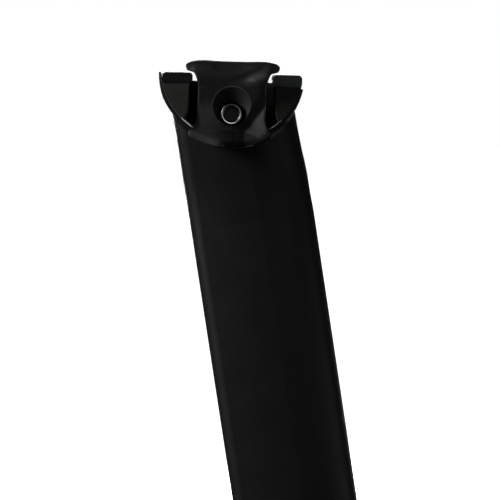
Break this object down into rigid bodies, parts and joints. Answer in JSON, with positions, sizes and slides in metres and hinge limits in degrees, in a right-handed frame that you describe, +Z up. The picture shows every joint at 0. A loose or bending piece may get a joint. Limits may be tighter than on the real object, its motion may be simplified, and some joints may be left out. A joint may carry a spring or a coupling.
{
  "type": "bicycle seatpost",
  "caption": "Aero seatpost: hollow teardrop-section tube with a flared head, where a tilting cradle in a round trough and two hooked plates on a cross bolt clamp the saddle rails.",
  "frame": {"origin": "middle of the tube's open lower end", "axes": "+Z up the tube, +X to the front of the bicycle, +Y to its left"},
  "size_m": [0.0486, 0.055, 0.3041],
  "materials": {
    "post_carbon": "satin clear coat over black fibre laminate",
    "cradle_alloy": "grainy black anodised forging",
    "plate_alloy": "bead-blasted black anodised forging",
    "bolt_steel": "blackened steel, rubbed bright at the rim",
    "washer_steel": "blackened steel",
    "nut_steel": "blackened steel"
  },
  "bodies": {
    "post": {"post": "post_carbon"},
    "cradle": {"rail_cradle": "cradle_alloy"},
    "right_jaw": {"clamp_plate_right": "plate_alloy", "bolt_washer": "washer_steel"},
    "left_jaw": {"clamp_plate_left": "plate_alloy", "clamp_nut": "nut_steel"},
    "bolt": {"clamp_bolt": "bolt_steel"}
  },
  "joints": [
    {"name": "saddle_tilt", "type": "hinge", "parent": "post", "child": "cradle", "pos_m": [0.0012, 0, 0.3], "axis": [0, -1, 0], "range_deg": [-17.4, 6.6]},
    {"name": "right_jaw_slide", "type": "slide", "parent": "cradle", "child": "right_jaw", "axis": [0, -1, 0], "range_m": [0, 0.004]},
    {"name": "left_jaw_slide", "type": "slide", "parent": "cradle", "child": "left_jaw", "axis": [0, 1, 0], "range_m": [0, 0.004]},
    {"name": "bolt_turn", "type": "hinge", "parent": "right_jaw", "child": "bolt", "pos_m": [-0.00164, 0, 0.2842], "axis": [0, -1, 0], "range_deg": [0, 2880]}
  ],
  "couplings": [
    {"joint": "right_jaw_slide", "follows": "bolt_turn", "m_per_rad": 0.000079577},
    {"joint": "left_jaw_slide", "follows": "bolt_turn", "m_per_rad": 0.000079577}
  ]
}
